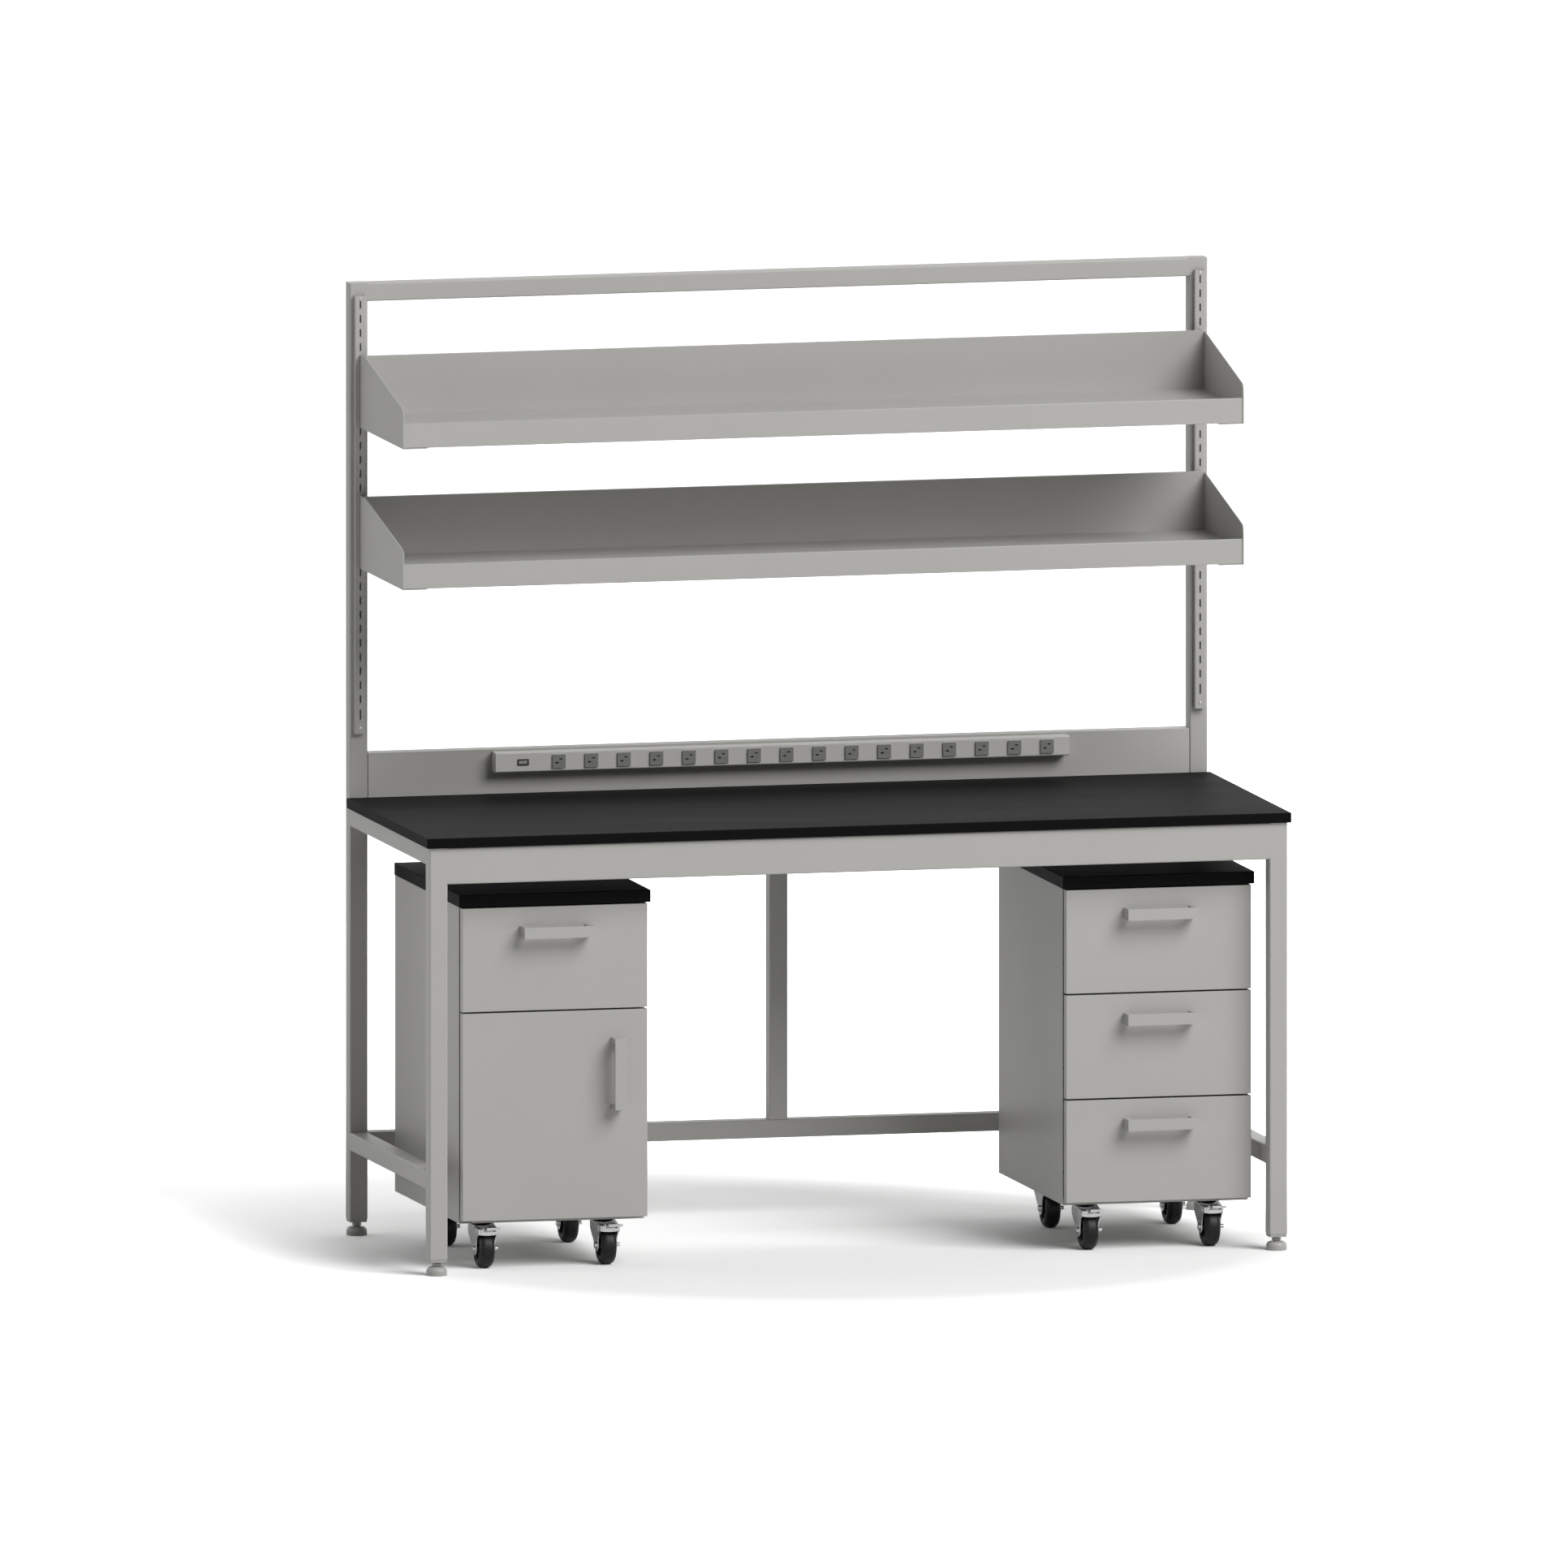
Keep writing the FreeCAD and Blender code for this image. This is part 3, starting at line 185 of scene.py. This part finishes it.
def powder_coat(name, tone=PAINT_GREY, roughness=0.42):
    finish = Finish(name, Specular_IOR_Level=0.4)
    clouds = finish.noise(5.0, detail=3.0)
    peel = finish.noise(420.0, detail=1.0)
    finish.set(Base_Color=finish.blend(clouds, grey(tone * 0.97, PAINT_WARMTH),
                                       grey(tone * 1.03, PAINT_WARMTH)))
    finish.set(Roughness=roughness - 0.05 + 0.1 * clouds)
    finish.bump(peel, 0.00003)
    return finish.material


paint = powder_coat("powder_coat")
# The back panel takes the same coat in a lighter tone: painted light, which makes up for the
# light that the shelves above keep from it.
panel_paint_painted_light = powder_coat("panel_coat_painted_light", tone=0.48)
# The outlet strip's coat is lighter still: painted light, which makes up for the shade that the
# shelves cast on it.
strip_paint_painted_light = powder_coat("strip_coat_painted_light", tone=0.62, roughness=0.36)
print("paint:", paint.name)

# %% [markdown]
# ## Black resin
#
# The worktop and the pedestal tops are a solid black resin board. It is almost black all
# through, with a low sheen that breaks up where the surface has been wiped, and a very fine
# mineral grain. Its sheen matters more than its colour: seen at a low angle the board shows
# the light above it as a soft grey.

# %% Black resin
def black_resin():
    finish = Finish("black_resin", Specular_IOR_Level=0.04)
    wipes = finish.noise(4.0, detail=4.0, stretch=(0.6, 2.0, 1.0))
    grain = finish.noise(900.0, detail=2.0)
    finish.set(Base_Color=finish.blend(grain, grey(0.002), grey(0.006)))
    finish.set(Roughness=0.5 + 0.1 * wipes)
    finish.bump(grain, 0.00002)
    return finish.material


resin = black_resin()
print("resin:", resin.name)

# %% [markdown]
# ## Metals, rubber and plastics
#
# The casters are bright plated steel. Plating follows the pressed sheet below it, so its bump
# shows long upright waves rather than a mirror, and its colour carries painted reflections:
# long upright streaks, lighter and darker, for the streaky reflections on plated legs. The
# screws are duller zinc. The runners and hinges fixed in the pedestals are zinc as well,
# coloured near black as painted shade for the shadowed gaps behind the fronts. The tyres are
# black rubber with a matt bloom, and the sockets, plugs and switch are moulded plastic with a
# fine spark-eroded texture.

# %% Metals, rubber and plastics
def plated_steel(name, tone, roughness):
    finish = Finish(name, Metallic=1.0)
    waves_and_painted_streaks = finish.noise(220.0, detail=2.0, stretch=(1.0, 1.0, 0.15))
    # The same noise streaks the colour lighter and darker, long and upright: painted
    # reflections, while the bump holds the real waves of the sheet.
    finish.set(Base_Color=finish.blend(waves_and_painted_streaks, grey(tone * 0.7), grey(tone * 1.1)))
    finish.set(Roughness=roughness - 0.04 + 0.08 * waves_and_painted_streaks)
    finish.bump(waves_and_painted_streaks, 0.00005)
    return finish.material


def rubber():
    finish = Finish("tyre_rubber", Specular_IOR_Level=0.25)
    bloom = finish.noise(90.0, detail=4.0)
    grain = finish.noise(1500.0, detail=1.0)
    finish.set(Base_Color=finish.blend(bloom, grey(0.003), grey(0.008)))
    finish.set(Roughness=0.36 + 0.12 * bloom)
    finish.bump(grain, 0.00003)
    return finish.material


def moulded_plastic(name, tone, roughness):
    finish = Finish(name, Specular_IOR_Level=0.45)
    texture = finish.noise(2500.0, detail=1.0)
    drift = finish.noise(30.0, detail=1.0)
    finish.set(Base_Color=finish.blend(drift, grey(tone * 0.94, 0.01), grey(tone * 1.06, 0.01)))
    finish.set(Roughness=roughness - 0.05 + 0.1 * texture)
    finish.bump(texture, 0.00002)
    return finish.material


chrome = plated_steel("bright_plate", 0.62, 0.2)
zinc = plated_steel("zinc_plate", 0.55, 0.32)
# The pedestal fittings are zinc, coloured near black here as painted shade for the dark gaps
# where they sit.
painted_shade_steel = plated_steel("painted_shade_steel", 0.06, 0.4)
tyre_rubber = rubber()
socket_plastic = moulded_plastic("socket_plastic", 0.23, 0.45)
dark_plastic = moulded_plastic("dark_plastic", 0.02, 0.5)
plug_plastic = moulded_plastic("plug_plastic", 0.38, 0.45)
rocker_plastic = moulded_plastic("rocker_plastic", 0.45, 0.3)
foot_paint = powder_coat("foot_coat", tone=0.4, roughness=0.36)
print("finishes:", len(bpy.data.materials))

# %% [markdown]
# ## Dressing the solids
#
# Every solid gets the finish of its slot. No folded or cut edge is perfectly sharp, and the
# thin light line along an edge is what makes sheet metal look like metal. A Bevel modifier
# rounds each edge by the small radius that its process leaves: over half a millimetre on a
# folded sheet or an eased board, less on small parts. The square tubes have round corners
# already. A Weld modifier goes first, because the solids arrive with their faces apart.

# %% Dress the solids
FINISH_OF_SLOT = {"frame_paint": paint, "black_resin": resin, "bright_steel": zinc,
                  "dark_steel": painted_shade_steel, "foot_metal": foot_paint,
                  "dark_plastic": dark_plastic, "plug_plastic": plug_plastic,
                  "socket_plastic": socket_plastic, "rocker_plastic": rocker_plastic,
                  "caster_chrome": chrome, "black_rubber": tyre_rubber}
# The back panel and the outlet strip take their lighter coats, which carry painted light.
FINISH_OF_NODE = {"back_panel": panel_paint_painted_light, "outlet_strip_housing": strip_paint_painted_light}
ROUND_CORNERED = ("front_legs", "rear_posts", "top_crossbar", "front_apron", "side_rails",
                  "rear_rails")
EDGE_RADIUS = 0.0006
SMALL_EDGE_RADIUS = 0.0002
SHARP = math.radians(40)        # an edge is sharp where its faces turn by more than this
WELD_GAP = 0.00001
SMALL_NODES = ("outlet_sockets", "switch_bezel", "switch_rocker", "bench_screws",
               "left_cabinet_fittings", "right_cabinet_runners", "slotted_standards")


def ease_edges(piece, radius):
    """Round the sharp edges of a piece by a small radius."""
    weld = piece.modifiers.new("weld", "WELD")
    weld.merge_threshold = WELD_GAP
    bevel = piece.modifiers.new("eased_edges", "BEVEL")
    bevel.width = radius
    bevel.segments = 2
    bevel.limit_method = "ANGLE"
    bevel.angle_limit = SHARP
    bevel.harden_normals = True


for subpart in frame["record"]["subparts"]:
    name = subpart["node"]
    piece = nodes[name]
    finish = FINISH_OF_NODE.get(name) or FINISH_OF_SLOT[subpart["material_slot"]]
    piece.data.materials.clear()
    piece.data.materials.append(finish)
    if name not in ROUND_CORNERED:
        small = name in SMALL_NODES or "brake" in name
        ease_edges(piece, SMALL_EDGE_RADIUS if small else EDGE_RADIUS)
print("dressed:", len(nodes))

# %% [markdown]
# ## Floor and light
#
# The bench stands on a plain white floor. Behind it the world is a bright backdrop, which
# lights the worktop and the edges and leaves the low rails dark. A very large soft box far
# off at the front right lights the fronts and gives the shadows their direction, and a weak
# one at the left opens up the sides. Seen directly or in a reflection the world is plain
# white. The floor is too: there its colour is stronger than any real white, so that it
# reaches white under plain light and still keeps the shadows. Behind the bench and further
# out it is stronger still, since less and less light falls there.

# %% Floor and light
FLOOR_HALF = 30.0
FLOOR_WHITE = 0.75
FLOOR_SEEN_NEAR = 1.1
FLOOR_SEEN_FAR = 3.0
UNDER_FROM = -0.1               # metres behind the bench's middle
UNDER_SHARE = 0.45              # of the way from the near to the far whiteness
BEYOND_FROM = 0.9               # metres away from the bench's middle
BEYOND_SHARE = 0.6
FLOOR_RISE = 1.6                # both shares are reached over 1 / 1.6 m
HORIZON_LIGHT = 0.05
BACKDROP_LIGHT = 0.95
BOX_DISTANCE = 24.0
BOX_SIZE = 15.0
BENCH_MIDDLE = Vector((0, 0, 0.9))
KEY_AT = (34, 40)               # degrees: round to the right of the front, and up
KEY_POWER = 5600.0              # watts
SIDE_AT = (-95, 20)
SIDE_POWER = 750.0


def seen(tree):
    """1 for a ray that the eye follows, directly or through a reflection or glass, else 0."""
    path = [tree.node("ShaderNodeLightPath", output=name)
            for name in ("Is Camera Ray", "Is Glossy Ray", "Is Transmission Ray")]
    return tree.node("ShaderNodeClamp", None, {"Value": path[0] + path[1] + path[2]})


def floor():
    corners = [Vector((x, y, 0)) * FLOOR_HALF for x, y in ((-1, -1), (1, -1), (1, 1), (-1, 1))]
    mesh = bpy.data.meshes.new("floor")
    mesh.from_pydata(corners, [], [(0, 1, 2, 3)])
    piece = bpy.data.objects.new("floor", mesh)
    bpy.context.scene.collection.objects.link(piece)
    material = bpy.data.materials.new("floor_white")
    material.use_nodes = True
    tree = Nodes(material.node_tree)
    plain, near, far = [tree.node("ShaderNodeBsdfDiffuse", None, {"Color": grey(white)})
                        for white in (FLOOR_WHITE, FLOOR_SEEN_NEAR, FLOOR_SEEN_FAR)]
    place = tree.node("ShaderNodeTexCoord", output="Object")
    behind = tree.node("ShaderNodeSeparateXYZ", None, {0: place}, output=1)
    away = tree.node("ShaderNodeVectorMath", {"operation": "LENGTH"}, {0: place}, output=1)
    under = tree.node("ShaderNodeClamp", None, {"Value": (behind - UNDER_FROM) * FLOOR_RISE})
    beyond = tree.node("ShaderNodeClamp", None, {"Value": (away - BEYOND_FROM) * FLOOR_RISE})
    direct = tree.node("ShaderNodeLightPath", output="Is Camera Ray")
    distance = direct * (UNDER_SHARE * under + BEYOND_SHARE * beyond)
    bright = tree.node("ShaderNodeMixShader", None, {0: distance, 1: near, 2: far})
    surface = tree.node("ShaderNodeMixShader", None, {0: seen(tree), 1: plain, 2: bright})
    feed(material.node_tree.nodes["Material Output"].inputs["Surface"], surface)
    mesh.materials.append(material)


def world_light():
    world = bpy.data.worlds.new("studio")
    bpy.context.scene.world = world
    world.use_nodes = True
    tree = Nodes(world.node_tree)
    background = world.node_tree.nodes["Background"]
    feed(background.inputs["Color"], grey(1.0))
    direction = tree.node("ShaderNodeTexCoord", output="Generated")
    depth = tree.node("ShaderNodeSeparateXYZ", None, {0: direction}, output=1)
    behind = tree.node("ShaderNodeClamp", None, {"Value": depth})
    light = HORIZON_LIGHT + BACKDROP_LIGHT * behind
    white = seen(tree)
    feed(background.inputs["Strength"], white + (1 - white) * light)


def soft_box(name, at, power):
    """A large square light far off, facing the bench."""
    azimuth, elevation = (math.radians(angle) for angle in at)
    data = bpy.data.lights.new(name, "AREA")
    data.shape = "SQUARE"
    data.size = BOX_SIZE
    data.energy = power
    lamp = bpy.data.objects.new(name, data)
    towards = Vector((math.sin(azimuth) * math.cos(elevation),
                      -math.cos(azimuth) * math.cos(elevation),
                      math.sin(elevation)))
    lamp.location = BENCH_MIDDLE + towards * BOX_DISTANCE
    lamp.rotation_mode = "QUATERNION"
    lamp.rotation_quaternion = (-towards).to_track_quat("-Z", "Y")
    bpy.context.scene.collection.objects.link(lamp)


floor()
world_light()
soft_box("key", KEY_AT, KEY_POWER)
soft_box("side", SIDE_AT, SIDE_POWER)
print("floor and lights set")
